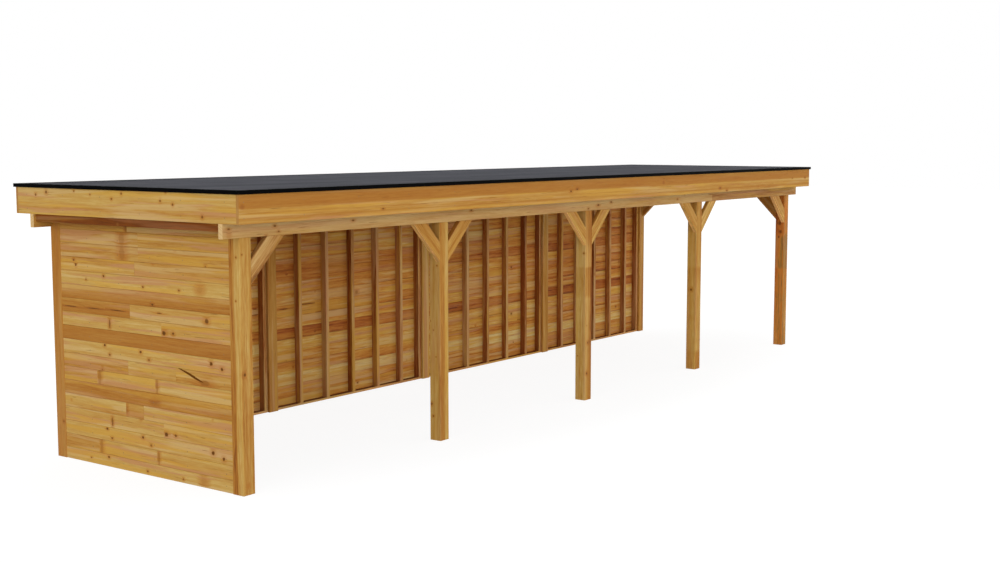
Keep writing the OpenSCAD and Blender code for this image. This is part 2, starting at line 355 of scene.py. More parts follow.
def wood(recipe, grain, lean, knots, sawn, tones=HONEY, contrast=1.0, tints=1.0, end=SAWN):
    """Colours a recipe as wood. grain is (along, across, deep) in metres, lean moves the
    tone from pale (0) to dark (1), knots holds pairs of a distance in knot radii and a
    darkness, and sawn is 1 on end grain."""
    r = recipe
    halo, heart, nearest = 0.0, 0.0, FAR
    for distance, dark in knots:
        ring = r.sum("SUBTRACT", 1.0, r.ease(distance, 0.9, 3.4))
        core = r.times(r.sum("SUBTRACT", 1.0, r.ease(distance, 0.7, 1.25)), dark)
        halo, heart = r.sum("MAXIMUM", halo, ring), r.sum("MAXIMUM", heart, core)
        nearest = r.sum("MINIMUM", nearest, distance)
    drift = r.noise(grain, (1.1, 4.0, 4.0), 1.0, output="Color")
    drift = r.vector("MULTIPLY", r.vector("SUBTRACT", drift, (0.5, 0.5, 0.5)), (0, 0.035, 0.035))
    push = r.add("CombineXYZ", {"Y": r.times(halo, 0.010)})
    flow = r.vector("ADD", r.vector("ADD", grain, drift), push)

    radius = r.length(r.vector("MULTIPLY", flow, (0.0, 120.0, 120.0)))
    rings = r.add("TexNoise", {"W": radius, "Scale": 1.0, "Detail": 1.0}, noise_dimensions="1D")
    lines = r.ease(rings, 0.54, 0.72)
    figure = r.times(lines, 0.08)
    for along, across, detail, share in BANDS:
        band = r.noise(flow, (along, across, across), detail, 0.6)
        figure = r.swing(band, share, figure)
    calm = r.linear(r.ease(lean, 0.55, 0.80), -0.45 * contrast, contrast)
    value = r.linear(figure, calm, lean)
    fibre = r.noise(flow, (6.0, 380.0, 380.0), 2.0, 0.6)
    value = r.swing(fibre, 0.22, value)
    value = r.linear(halo, 0.20, value)
    colour = r.ramp(value, tones)

    patch = r.noise(flow, (0.8, 18.0, 18.0), 2.0, output="Color")
    parts = r.add("SeparateColor", {0: patch}).node.outputs
    share = r.times(r.ease(lean, 0.85, 0.45), tints)
    for part, amount, hue in (("Red", 0.70, ROSY), ("Green", 0.60, GOLDEN), ("Blue", 0.45, CREAM)):
        spread = r.times(r.ease(parts[part], 0.52, 0.62), amount)
        colour = r.blend(r.times(spread, share), colour, hue)
    colour = r.blend(r.times(halo, 0.35), colour, ORANGE)
    cracks = r.noise(flow, (4.0, 150.0, 150.0), 1.0)
    colour = r.blend(r.times(r.ease(cracks, 0.70, 0.78), 0.6), colour, CHECK)
    rays = r.blend(r.times(lines, 0.4), end, SAWN)
    colour = r.blend(r.times(sawn, 0.8), colour, rays)
    rim = r.sum("MAXIMUM", r.ease(nearest, 0.5, 1.1), r.ease(heart, 0.75, 0.50))
    middle = r.blend(rim, KNOT_HEART, KNOT_RIM)
    colour = r.blend(heart, colour, middle)

    rough = r.linear(fibre, 0.16, 0.60)
    r.finish(colour, r.linear(heart, -0.15, rough), 0.12)
    height = r.linear(lines, 0.5, fibre)
    r.bump(r.linear(heart, -0.6, height), 0.0006, 0.6)


# %% [markdown]
# ## Grain for the solid timbers
# A post's grain stands up, a beam's lies along the veranda, a tie's lies across it. Object
# coordinates are the frame's own metres, so reading them in another order turns the grain.
# A brace leans at 45 degrees to either side of its post: folding the pattern about the
# post's middle serves both braces with one sum.
# Knots come from scattered points. Each point's true distance in metres is worked out, so
# that knots stay round although the points are spread further along than across.

# %% Timber materials
ORDER = {"x": "XZY", "y": "YZX", "z": "ZXY"}
KNOT_SPREAD = (2.6, 8.0, 8.0)


def grain_along(recipe, axis, fold=0.0):
    """Grain coordinates from Object coordinates. x, y and z only change the order; lean_x
    and lean_y first mirror the place about fold, then turn it by 45 degrees."""
    parts = recipe.add("SeparateXYZ", {0: recipe.place()}).node.outputs
    if axis in ORDER:
        return recipe.add("CombineXYZ", {i: parts[k] for i, k in enumerate(ORDER[axis])})
    side, other = ("X", "Y") if axis == "lean_x" else ("Y", "X")
    away = recipe.sum("ABSOLUTE", recipe.sum("SUBTRACT", parts[side], fold))
    if axis == "lean_y":
        away = recipe.times(away, -1.0)
    along = recipe.times(recipe.sum("ADD", away, parts["Z"]), math.sqrt(0.5))
    across = recipe.times(recipe.sum("SUBTRACT", away, parts["Z"]), math.sqrt(0.5))
    return recipe.add("CombineXYZ", {0: along, 1: across, 2: parts[other]})


def facing(recipe, axis):
    """1 on faces that look along an axis, either way, and 0 on faces at right angles to it;
    the frame isn't turned, so the true normal is in the frame's own directions."""
    normal = recipe.add("NewGeometry", {}, "True Normal")
    return recipe.ease(recipe.sum("ABSOLUTE", recipe.part(normal, axis)), 0.80, 0.90)


def scattered_knots(recipe, grain, share):
    """Distance to the nearest scattered knot in knot radii, about 6 to 14 mm each; share
    of the points really carry a knot, and the others get a radius close to nothing."""
    cell = recipe.vector("MULTIPLY", grain, KNOT_SPREAD)
    found = recipe.add("TexVoronoi", {"Vector": cell, "Scale": 1.0}, "Position").node.outputs
    apart = recipe.vector("SUBTRACT", cell, found["Position"])
    apart = recipe.vector("DIVIDE", apart, KNOT_SPREAD)
    luck = recipe.add("SeparateColor", {0: found["Color"]}).node.outputs
    carries = recipe.sum("LESS_THAN", luck["Red"], share)
    radius = recipe.linear(luck["Green"], 0.008, 0.006)
    radius = recipe.sum("MAXIMUM", recipe.times(radius, carries), 0.0001)
    return recipe.sum("DIVIDE", recipe.length(apart), radius)


def placed_knots(recipe, places, squeeze=(1, 1, 1)):
    """Distance to the nearest of a few knots given as points (x, y, z) on the timber's
    faces and a radius, all in metres; a squeeze of 0.5 along an axis makes a knot twice as
    long that way."""
    place = recipe.vector("MULTIPLY", recipe.place(), squeeze)
    nearest = FAR
    for *point, radius in places:
        point = [p * s for p, s in zip(point, squeeze)]
        gap = recipe.vector("DISTANCE", place, point, output=1)
        nearest = recipe.sum("MINIMUM", nearest, recipe.sum("DIVIDE", gap, radius))
    return nearest


def banded(recipe, axis, start, end, bands, between="LINEAR"):
    """Lean that changes along an axis: bands are (share of the way from start to end, lean),
    with straight slopes between them, or CONSTANT steps."""
    part = recipe.part(recipe.place(), axis)
    share = recipe.add("MapRange", {"Value": part, "From Min": start, "From Max": end})
    return recipe.ramp(share, [(s, (v, v, v, 1.0)) for s, v in bands], between)


def timber(name, axis, lean, tones=HONEY, knots=0.35, fold=0.0, shift=(0, 0, 0), places=(),
           contrast=1.0, tints=1.0, end=SAWN, bands=(), painted_side_shade=None, varied=None,
           upward=0.0):
    """Material for solid timber whose grain runs along axis. bands holds (axis, start, end,
    stops) as banded takes them, each added to the lean; the side shade argument is (axis,
    step): painted shade, a step of lean on the faces that look along that axis; varied is
    (axis, step, amount) for a node of many sticks that lie a step apart, so that each gets a
    tone of its own; upward is painted light and shade: how much darker a face that looks up
    is painted than one that looks down."""
    r = Recipe(name)
    grain = grain_along(r, axis, fold)
    for span in bands:
        lean = r.sum("ADD", banded(r, *span), lean)
    # Painted shade: faces that look along one axis get their lean raised, or lowered for a
    # negative step.
    if painted_side_shade:
        lean = r.linear(facing(r, painted_side_shade[0]), painted_side_shade[1], lean)
    if varied:
        stick = r.sum("ROUND", r.sum("DIVIDE", r.part(r.place(), varied[0]), varied[1]))
        luck = r.add("TexWhiteNoise", {"W": stick}, noise_dimensions="1D")
        lean = r.swing(luck, varied[2], lean)
    # Painted light and shade: faces that look up are painted darker, faces that look down paler.
    if upward:
        normal = r.add("NewGeometry", {}, "True Normal")
        up = r.ease(r.part(normal, "z"), -0.6, 0.6)
        lean = r.swing(up, upward, lean)
    moved = r.vector("ADD", grain, shift)
    spots = [(scattered_knots(r, moved, knots), 0.75)] if knots else []
    if places:
        squeeze = (0.5, 1, 1) if axis == "x" else (1, 1, 1)
        spots.append((placed_knots(r, places, squeeze), 0.85))
    sawn = facing(r, axis) if axis in ORDER else facing(r, "z")
    wood(r, moved, lean, spots, sawn, tones, contrast, tints, end)
    return r.material


def dress(material, *names):
    """Puts a material into every slot of the named nodes."""
    for name in names:
        slots = nodes[name].data.materials
        slots.clear()
        slots.append(material)


# %% [markdown]
# ## Posts, beams and braces
# The timbers are one kind of wood but not one colour. The first post is pale, with a browner
# strip along its back half; the next three are honey, and the fifth is ginger. The front beam
# is tan, its sealed ends are paler, and the ties under the roof are dark russet. Each timber
# gets its own lean on a row of tones, and so does each stud of the back. Some faces also carry
# painted shade: one face of each post, the tops of the braces and plates, the sides of the
# studs and the sixth stud of a bay; the undersides of the braces and the upper part of the
# beam under the fascia carry painted light.

# %% Dress the frame
STUD_FIRST, STUD_PITCH = 0.356, 0.392


def middle(name):
    a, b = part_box(name)
    return (a + b) / 2


POST_BANDS = {  # rows of (share of the way, lean) along one axis or two
    1: {"y": [(0.0, 0.34), (0.48, 0.34), (0.54, 0.70), (1.0, 0.66)]},
    2: {"x": [(0.0, 0.37), (0.03, 0.37), (0.04, 0.50), (0.50, 0.50), (0.62, 0.08), (1.0, 0.10)]},
    3: {"x": [(0.0, 0.0), (0.05, 0.13), (0.40, 0.09), (0.46, 0.33), (0.54, 0.17), (1.0, 0.33)],
        "z": [(0.0, 0.31), (0.30, 0.33), (0.50, 0.25), (0.52, 0.41), (0.65, 0.43), (0.66, 0.17),
              (0.74, 0.21), (0.80, 0.37), (1.0, 0.33)]},
    4: {"z": [(0.0, 0.62), (0.09, 0.60), (0.11, 0.40), (0.28, 0.42), (0.33, 0.36), (0.46, 0.40),
              (0.56, 0.58), (0.58, 0.38), (1.0, 0.46)]},
    5: {"z": [(0.0, 0.60), (0.12, 0.66), (0.30, 0.66), (0.47, 0.72), (0.49, 0.54), (0.66, 0.58),
              (0.70, 0.82), (0.80, 0.82), (1.0, 0.60)]},
}
# Painted shade by side: posts 1 to 4 get a darker front than left face, post 5 a darker left face
# than front.
PAINTED_FRONT_SHADE = {1: 0.18, 2: 0.24, 3: 0.20, 4: 0.18, 5: -0.30}  # the front against the left
LEFT_FACE_KNOTS = {  # post: (share of the depth from the back, height, radius in millimetres)
    1: [(0.70, 1.82, 6), (0.62, 1.49, 6)],
    2: [(0.71, 1.58, 6), (0.08, 1.08, 4), (0.35, 1.00, 5), (0.16, 0.33, 11),
        (0.32, 0.22, 9), (0.60, 0.76, 4)],
    3: [(0.82, 1.53, 9), (0.22, 0.46, 5)],
    4: [(0.47, 0.94, 15)],
    5: [(0.45, 1.60, 11), (0.60, 1.49, 9), (0.40, 1.42, 8)],
}
FRONT_FACE_KNOTS = {  # post: (share of the width from the left, height, radius as above)
    1: [(0.28, 0.93, 14), (0.22, 1.84, 6)],
    3: [(0.26, 0.28, 13), (0.26, 0.78, 4)],
}
REAR_LEAN = {1: 0.74, 2: 0.62, 3: 0.50, 4: 0.56, 5: 0.62}
# The pale first stop of BRACE_TONES is painted light: the braces' undersides, painted paler by
# upward, reach it.
BRACE_TONES = [(0.10, tint(250, 194, 118)), (0.30, tint(197, 158, 84)), *HONEY[2:]]
BRACE_LEANS = {  # the brace on the left of the post, and the one on the right
    1: (0.40, 0.40), 2: (0.48, 0.44), 3: (0.42, 0.40), 4: (0.46, 0.24), 5: (0.42, 0.42),
}
for i, stops in POST_BANDS.items():
    name = f"front_post_{i}"
    a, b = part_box(name)
    spots = [(a.x, b.y - share * (b.y - a.y), z, radius / 1000)
             for share, z, radius in LEFT_FACE_KNOTS.get(i, ())]
    spots += [(a.x + share * (b.x - a.x), a.y, z, radius / 1000)
              for share, z, radius in FRONT_FACE_KNOTS.get(i, ())]
    bands = [(axis, getattr(a, axis), getattr(b, axis), row) for axis, row in stops.items()]
    dress(timber(f"front_post_wood_{i}", "z", 0.0, GINGER if i == 5 else HONEY, knots=0.3,
                 shift=(0.7 * i, 0, 0), bands=bands, painted_side_shade=("y", PAINTED_FRONT_SHADE[i]),
                 contrast=1.6, tints=0.1 if i == 1 else 0.45, places=spots), name)
    dress(timber(f"rear_post_wood_{i}", "z", REAR_LEAN[i], shift=(0.9 * i, 3, 0)),
          f"rear_post_{i}")
    a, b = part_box(f"braces_{i}")
    left, right = BRACE_LEANS[i]
    sides = [("x", a.x, b.x, [(0.0, left), (0.5, right)], "CONSTANT")]
    # Painted shade on the braces' front and back faces and on the faces that look up; painted
    # light on those that look down.
    dress(timber(f"brace_wood_{i}", "lean_x", 0.0, TAN if i == 1 else BRACE_TONES,
                 fold=middle(name).x, knots=0.1, shift=(i, 0, 0), contrast=1.6, tints=0.5,
                 bands=sides, painted_side_shade=("y", 0.18), upward=0.7), f"braces_{i}")
dress(timber("end_brace_wood", "lean_y", 0.65), "end_braces")



def front_knots(name, rows):
    """Knots on a node's front face, from rows of (distance from the left end, share of the
    height, radius in millimetres)."""
    a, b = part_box(name)
    return [(a.x + along, a.y, a.z + share * (b.z - a.z), radius / 1000)
            for along, share, radius in rows]


beam_low, beam_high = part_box("front_beam_long")
BEAM_KNOTS = [
    (0.06, 0.5, 7), (0.53, 0.5, 8), (0.57, 0.2, 6), (1.41, 0.5, 8), (2.99, 0.6, 8),
    (4.95, 0.15, 7), (5.14, 0.35, 11), (5.39, 0.5, 9), (6.81, 0.36, 7),
]
# BEAM_LEVELS paint the beam paler towards its top, where the fascia's shade falls: painted light.
BEAM_LEVELS = [(0.0, 0.36), (0.35, 0.32), (0.75, 0.08), (1.0, 0.0)]
painted_light_under_fascia = [("z", beam_low.z, beam_high.z, BEAM_LEVELS)]
dress(timber("long_beam_wood", "x", 0.0, TAN, knots=0.2, contrast=0.9, end=SEALED, tints=0.5,
             places=front_knots("front_beam_long", BEAM_KNOTS), bands=painted_light_under_fascia),
      "front_beam_long")
dress(timber("short_beam_wood", "x", 0.33, TAN, end=SEALED, bands=painted_light_under_fascia),
      "front_beam_short")
dress(timber("rear_beam_wood", "x", 0.58, end=SEALED), "rear_beam_long", "rear_beam_short")
dress(timber("tie_wood", "y", 0.72, RUSSET), "left_end_tie", "left_wall_tie",
      "right_brace_tie", "right_end_tie")
dress(timber("joist_wood", "y", 0.58), "roof_joists")
back_low, back_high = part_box("rear_wall_studs")
# In the first three bays the sixth stud, beside the next post, is painted darker: painted shade.
STUD_TONES = [  # bay by bay, from the left; the sixth stud stands beside the next post
    (.36, .36, .36, .36, .36, .46), (.43, .00, .48, .43, .48, .57),
    (.36, .24, .40, .42, .58, .64), (.50, .36, .52, .52, .52, .52),
]
stud_steps = []
for i, tones in enumerate(STUD_TONES, 1):
    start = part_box(f"rear_wall_boards_{i}")[0].x - back_low.x
    for k, tone in enumerate(tones):
        stop = max(start + STUD_FIRST + STUD_PITCH * (k - 0.5), 0.0)
        stud_steps.append((stop / (back_high.x - back_low.x), tone))
# Painted shade on the stud sides that look along x; the left wall's studs get it on the faces that
# look along y.
dress(timber("stud_wood", "z", 0.0, PINKISH, painted_side_shade=("x", 0.17),
             varied=("x", STUD_PITCH / 2, 0.14),
             bands=[("x", back_low.x, back_high.x, stud_steps, "CONSTANT")]), "rear_wall_studs")
dress(timber("left_stud_wood", "z", 0.50, painted_side_shade=("y", 0.20)), "left_wall_studs")
# The plates' tops are painted dark by a side step along z: painted shade; the pale first stop
# colours their fronts.
PLATE_TONES = [(0.0, tint(216, 162, 98)), *RUSSET[1:]]  # pale in front, dark on top
for name, axis in (("rear", "x"), ("left", "y")):
    dress(timber(f"{name}_plate_wood", axis, 0.05, PLATE_TONES, painted_side_shade=("z", 0.70)),
          f"{name}_wall_plates")

# %% [markdown]
# The long fascia is one board of calm, straight grain: its upper half is orange-brown
# heartwood, its lower half paler, with a few brown lines. So its lean follows the height.

# %% Long fascias
front_low, front_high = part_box("front_fascia")
LEVELS = [
    (0.00, 0.60), (0.06, 0.54), (0.12, 0.64), (0.17, 0.74), (0.21, 0.60), (0.28, 0.54),
    (0.31, 0.68), (0.34, 0.54), (0.43, 0.46), (0.48, 0.76), (0.55, 0.82), (0.80, 0.78),
    (0.90, 0.68), (1.00, 0.60),
]
FRONT_FASCIA_KNOTS = [
    (1.58, 0.22, 7), (4.36, 0.44, 10), (4.47, 0.51, 9), (7.50, 0.20, 10), (7.67, 0.06, 9),
    (9.48, 0.47, 6), (9.87, 0.46, 8),
]
front_places = front_knots("front_fascia", FRONT_FASCIA_KNOTS)
for name, contrast, places in (("front_fascia", 0.70, front_places), ("rear_fascia", 0.8, ())):
    bands = [("z", front_low.z, front_high.z, LEVELS)]
    dress(timber(f"{name}_wood", "x", 0.0, knots=0.12, bands=bands, contrast=contrast,
                 tints=0.9, places=places), name)
dress(timber("right_fascia_wood", "y", 0.50, knots=0.3), "right_fascia")

# %% [markdown]
# The board across the left end shows ten small knots, nine of them in its upper half. They
# are given as shares of the board's length from the back and of its height.

# %% Left fascia
LEFT_FASCIA_KNOTS = [
    (0.092, 0.66, 11), (0.146, 0.76, 14), (0.285, 0.82, 7), (0.363, 0.74, 7),
    (0.464, 0.62, 9), (0.510, 0.80, 10), (0.684, 0.62, 10), (0.708, 0.90, 9),
    (0.738, 0.52, 10), (0.862, 0.18, 11),
]
end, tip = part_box("left_fascia")
fascia_knots = [
    (end.x, tip.y - share * (tip.y - end.y), end.z + height * (tip.z - end.z), radius / 1000)
    for share, height, radius in LEFT_FASCIA_KNOTS
]
streaks = [(0.0, 0.30), (0.14, 0.34), (0.22, 0.58), (0.30, 0.40), (0.38, 0.44), (0.46, 0.30),
           (1.0, 0.28)]
dress(timber("left_fascia_wood", "y", 0.0, knots=0.0, places=fascia_knots,
             bands=[("z", end.z, tip.z, streaks)]), "left_fascia")
print(len(fascia_knots), "knots on the left fascia")

# %% [markdown]
# ## Tongued boards
# The walls are clad with boards 116 mm wide, each with a tongue along its top edge, a groove
# along its bottom edge and a small chamfer that makes a V at every joint. One solid panel
# with a pattern would do from far away, but a real board ends somewhere, and its neighbour
# has another colour. So each board is its own closed stick: one section carried along it.
# Every point keeps its grain coordinates and its tone, and every face corner its distance
# from the face's own knot, which puts knots and dark scars exactly where they are wanted.

# %% Board section
COVER, FIRST, GAP = 0.116, 0.101, 0.0006
END_GAP = 0.0008  # between the ends of two boards, and the most that a board lies back
EASE, TONGUE, TONGUE_HALF = 0.003, 0.006, 0.003


def board_section(height, thick):
    """Closed outline of a board, (up, out) in metres, counter-clockwise: a rectangle of
    height by thick with its four corners cut by EASE, a tongue on top and a groove below."""
    top, middle, groove = height - GAP, thick / 2, TONGUE + 0.001
    slack = TONGUE_HALF + 0.0004
    return np.array([
        (EASE, 0), (top - EASE, 0), (top, EASE), (top, middle - TONGUE_HALF),
        (top + TONGUE, middle - TONGUE_HALF), (top + TONGUE, middle + TONGUE_HALF),
        (top, middle + TONGUE_HALF), (top, thick - EASE), (top - EASE, thick), (EASE, thick),
        (0, thick - EASE), (0, middle + slack), (groove, middle + slack),
        (groove, middle - slack), (0, middle - slack), (0, EASE),
    ])


def carry(section, stations):
    """Carries a section along stations: point (i, j) is (stations[i], section[j]). Gives the
    points, the side faces with one row per step, and the two end faces."""
    count, around = len(stations), len(section)
    points = np.empty((count, around, 3))
    points[..., 0] = stations[:, None]
    points[..., 1:] = section[None]
    ends = [np.arange(around)[::-1], np.arange(around) + (count - 1) * around]
    return points.reshape(-1, 3), faces_round(count, around), ends


# %% [markdown]
# A wall is laid from the bottom up. Each course says where its boards end, how pale or dark
# each board is at its lower and upper edge, and where its knots are. Knots are written as
# (along, share of the height, half length, half height, darkness) in metres and shares, so a
# tall narrow one is a spike knot, and a long thin one a scar.

# %% Lay boards
def lay_boards(name, origin, directions, courses, thick, material, seed):
    """Builds one mesh of boards. directions are the unit vectors along the boards, from
    course to course, and out of the face; courses are (bottom, height, boards, knots), and
    boards are (start, end, lower tone, upper tone)."""
    rng = np.random.default_rng(seed)
    axes = np.array(directions, float)
    points, faces, grain, tone, knot = [], [], [], [], []
    total = 0
    for bottom, height, boards, knots in courses:
        for start, end, lower, upper in boards:
            inside = sorted(k for k in knots if start < k[0] < end)
            cuts = [(a[0] + b[0]) / 2 for a, b in zip(inside, inside[1:])]
            stations = np.array([start, *cuts, end])
            section = board_section(height, thick)
            local, sides, ends = carry(section, stations)
            back = rng.uniform(0.0, END_GAP)
            placed = local + np.array([0, bottom, -back])
            points.append(np.array(origin) + placed @ axes)
            shift = rng.uniform(-20, 20, 3)
            grain.append(local + shift)
            share = np.clip(local[:, 1] / height, 0, 1)
            tone.append(lower + (upper - lower) * share + rng.uniform(-0.03, 0.03))
            corners = local[sides]
            around = len(section)
            own = np.full((len(sides), 4, 3), FAR)
            for step, spot in enumerate(inside):
                rows = slice(step * around, (step + 1) * around)
                own[rows, :, 0] = (corners[rows, :, 0] - spot[0]) / spot[2]
                own[rows, :, 1] = (corners[rows, :, 1] - spot[1] * height) / spot[3]
                own[rows, :, 2] = spot[4]
            knot.append(own.reshape(-1, 3))
            knot.append(np.full((2 * around, 3), FAR))
            faces += (sides + total).tolist() + [(e + total).tolist() for e in ends]
            total += len(local)
    piece = new_piece(name, np.concatenate(points), faces, material)
    mesh = piece.data
    for key, kind, domain, values in (
        ("grain", "FLOAT_VECTOR", "POINT", np.concatenate(grain)),
        ("tone", "FLOAT", "POINT", np.concatenate(tone)),
        ("knot", "FLOAT_VECTOR", "CORNER", np.concatenate(knot)),
    ):
        field = "vector" if kind == "FLOAT_VECTOR" else "value"
        mesh.attributes.new(key, kind, domain).data.foreach_set(
            field, np.ascontiguousarray(values, np.float32).ravel())
    print(name, len(mesh.vertices), "points,", len(mesh.polygons), "faces")
    return piece


def board_material(name, axis, tones=HONEY, contrast=1.0, knots=0.25):
    """Wood that reads a board's own grain, tone and knot attributes; axis is the direction
    that its boards run in."""
    r = Recipe(name)
    grain = r.add("Attribute", {}, "Vector", attribute_name="grain")
    own = r.add("SeparateXYZ", {0: r.add("Attribute", {}, "Vector", attribute_name="knot")})
    parts = own.node.outputs
    flat = r.add("CombineXYZ", {0: parts["X"], 1: parts["Y"]})
    wobble = r.noise(grain, (60.0, 110.0, 110.0), 2.0)
    wobble = r.times(r.sum("SUBTRACT", wobble, 0.5), 0.9)
    placed = r.sum("ADD", r.length(flat), wobble)
    lean = r.add("Attribute", {}, "Fac", attribute_name="tone")
    spots = [(placed, parts["Z"]), (scattered_knots(r, grain, knots), 0.9)]
    wood(r, grain, lean, spots, facing(r, axis), tones, contrast)
    return r.material


# %% [markdown]
# ## The boarded left end
# Eighteen courses run between the corner posts. The lowest is cut down at the ground, the
# highest slips behind the tie. The same few kinds of board come back at different heights:
# pale ones with pin knots, brown ones, ones with two spike knots that look like joints.

# %% Left wall courses
KINDS = {
    "pinned": ([(0, .22, .26)], [(.33, .45, .009, .007, .8), (.56, .80, .012, .010, 1),
               (1.05, .30, .010, .008, .9), (1.48, .30, .010, .008, .8),
               (1.72, .5, .030, .024, .20)]),
    "spiked": ([(0, .60, .52), (.44, .48, .30), (1.17, .48, .34)],
               [(.47, .5, .020, .080, .50), (1.19, .5, .014, .060, .55)]),
    "speckled": ([(0, .30, .20)], [(.55, .88, .014, .010, 1), (.61, .25, .012, .010, .8),
                 (1.00, .75, .014, .011, 1), (1.10, .28, .014, .010, .7),
                 (1.83, .62, .018, .017, 1), (1.95, .35, .015, .014, 1)]),
    "knotty": ([(0, .24, .34), (1.26, .36, .46)], [(.62, .45, .012, .040, .7),
               (1.29, .28, .022, .018, 1), (1.40, .32, .013, .011, .9)]),
    "rosy": ([(0, .50, .16), (.80, .62, .56), (1.02, .46, .20)], [(.81, .5, .012, .03, .4)]),
    "brown": ([(0, .68, .58)], [(1.16, .35, .030, .020, .20)]),
    "split": ([(0, .62, .56), (.84, .42, .36), (1.42, .56, .42)],
              [(1.75, .26, .060, .022, .60)]),
    "dark": ([(0, .80, .76)], []),
    "scarred": ([(0, .82, .62), (.88, .34, .42)], [(.12, .40, .10, .005, 1),
                (.42, .42, .10, .004, 1), (.72, .46, .12, .005, 1),
                (1.24, .60, .034, .004, 1), (1.79, .42, .022, .021, .9)]),
    "striped": ([(0, .84, .60)], [(1.16, .15, .013, .011, 1)]),
    "golden": ([(0, .50, .44), (.95, .62, .46)], [(.20, .45, .011, .014, 1)]),
    "winged": ([(0, .46, .60), (1.0, .50, .46)], [(.80, .5, .034, .055, .42)]),
    "barred": ([(0, .58, .66), (.87, .54, .58)], [(.855, .5, .013, .075, .6)]),
}
LEFT_COURSES = ["pinned", "spiked", "speckled", "knotty", "rosy", "brown", "spiked", "split",
                "speckled", "dark", "knotty", "scarred", "striped", "pinned", "golden",
                "winged", "winged", "barred"]


def course_edges(count, height):
    """Heights between courses: COVER apart from FIRST up, with the top one cut off."""
    return [0.0, *(FIRST + COVER * k for k in range(count - 1)), height]


def courses_of(kinds, height, length):
    """One course per kind of board."""
    edges = course_edges(len(kinds), height)
    out = []
    for kind, bottom, top in zip(kinds, edges, edges[1:]):
        tones, knots = KINDS[kind]
        starts = [tone[0] for tone in tones] + [length]
        boards = [(a, b - END_GAP, lower, upper)
                  for (a, lower, upper), b in zip(tones, starts[1:])]
        out.append((bottom, top - bottom, boards, knots))
    return out


LEFT_FACE = [(0, -1, 0), (0, 0, 1), (-1, 0, 0)]  # along its boards, up, and out
wall_low, wall_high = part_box("left_wall_boards")
wall_l, wall_h, board_t = wall_high.y - wall_low.y, wall_high.z, wall_high.x - wall_low.x
left_boards = lay_boards(
    "left_boards", (wall_high.x, wall_high.y, 0.0), LEFT_FACE,
    courses_of(LEFT_COURSES, wall_h, wall_l), board_t,
    board_material("left_board_wood", "y"), seed=11)
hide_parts("left_wall_boards")

# %% [markdown]
# ## The boarded back
# Behind, each bay is closed by boards from post to post, with the courses level from bay to
# bay. Their tones go by course, as the planks of one delivery did, and butt joints fall on
# studs.

# %% Back wall courses
BACK_TONES = [.50, .54, .14, .55, .41, .32, .71, .49, .56, .56, .47, .69, .60, .39, .52, .54,
              .46, .5]
BAY_TONES = {1: -0.03, 2: 0.0, 3: 0.0, 4: 0.10}
BACK_MARKS = [  # (x, height, half length, half height, darkness)
    (-2.60, 0.737, 0.05, 0.005, .9), (-2.52, 0.977, 0.05, 0.005, .9),
    (-2.13, 0.996, 0.07, 0.006, 1), (-1.80, 1.016, 0.14, 0.005, 1),
    (-1.05, 1.070, 0.022, 0.018, .6), (1.77, 1.122, 0.016, 0.014, .9),
    (1.77, 0.545, 0.016, 0.014, .9),
]


def short_of(places, end, least):
    """The places that leave at least so much before the end, and then the end."""
    return [place for place in places if place < end - least] + [end]


back_rng = np.random.default_rng(5)
back_material = board_material("back_board_wood", "x", AMBER, contrast=1.3, knots=0.4)
for bay in range(1, 5):
    a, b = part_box(f"rear_wall_boards_{bay}")
    bay_l = b.x - a.x
    edges = short_of(course_edges(len(BACK_TONES), b.z), b.z, 0.02)
    courses = []
    for tone, bottom, top in zip(BACK_TONES, edges, edges[1:]):
        tone += BAY_TONES[bay]
        tilt = back_rng.uniform(-0.06, 0.06)
        joint = bay_l - STUD_FIRST - STUD_PITCH * back_rng.integers(1, 5)
        halves = [(0.0, joint), (joint, bay_l)] if back_rng.random() < 0.35 else [(0.0, bay_l)]
        boards = [(s, e - END_GAP, tone + tilt + back_rng.uniform(-.05, .05), tone - tilt)
                  for s, e in halves]
        scars = [(place, 0.04, 0.28, 0.006, 0.55)
                 for place in (0.3, 0.9, 1.5, 2.1) if back_rng.random() < 0.25]
        scars += [(b.x - x, (z - bottom) / (top - bottom), *size)
                  for x, z, *size in BACK_MARKS if a.x < x < b.x and bottom < z < top]
        courses.append((bottom, top - bottom, boards, scars))
    piece = lay_boards(
        f"back_boards_{bay}", (b.x, a.y, 0.0), [(-1, 0, 0), (0, 0, 1), (0, 1, 0)],
        courses, b.y - a.y, back_material, seed=20 + bay)
    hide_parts(f"rear_wall_boards_{bay}")

# %% [markdown]
# ## Roof boards
# The roof sheet lies on boards that run along the veranda over the joists. From below one
# sees their Vs, the butt joints on the joists and the changes of tone.

# %% Roof boards
DECK_COVER = 0.096
deck_low, deck_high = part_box("roof_boards")
deck_l, deck_w = deck_high.x - deck_low.x, deck_high.y - deck_low.y
joist_x = stick_middles("roof_joists", 0)
print(len(joist_x), "joists, the first at", joist_x[0].round(3))
deck_rng = np.random.default_rng(8)
edges = [*np.arange(0, deck_w - 0.03, DECK_COVER), deck_w]
deck_courses = []
for bottom, top in zip(edges, edges[1:]):
    first = deck_rng.integers(2, 9)
    ends = short_of([0.0, *(joist_x[first::7] - deck_low.x)], deck_l, 0.2)
    boards = []
    for s, e in zip(ends, ends[1:]):
        lower = deck_rng.uniform(0.3, 0.65)
        boards.append((s, e - END_GAP, lower, lower + deck_rng.uniform(-.1, .1)))
    deck_courses.append((bottom, top - bottom, boards, []))
deck = lay_boards(
    "deck_boards", (deck_low.x, deck_low.y, deck_low.z), [(1, 0, 0), (0, 1, 0), (0, 0, 1)],
    deck_courses, deck_high.z - deck_low.z, board_material("deck_board_wood", "x"), seed=31)
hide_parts("roof_boards")

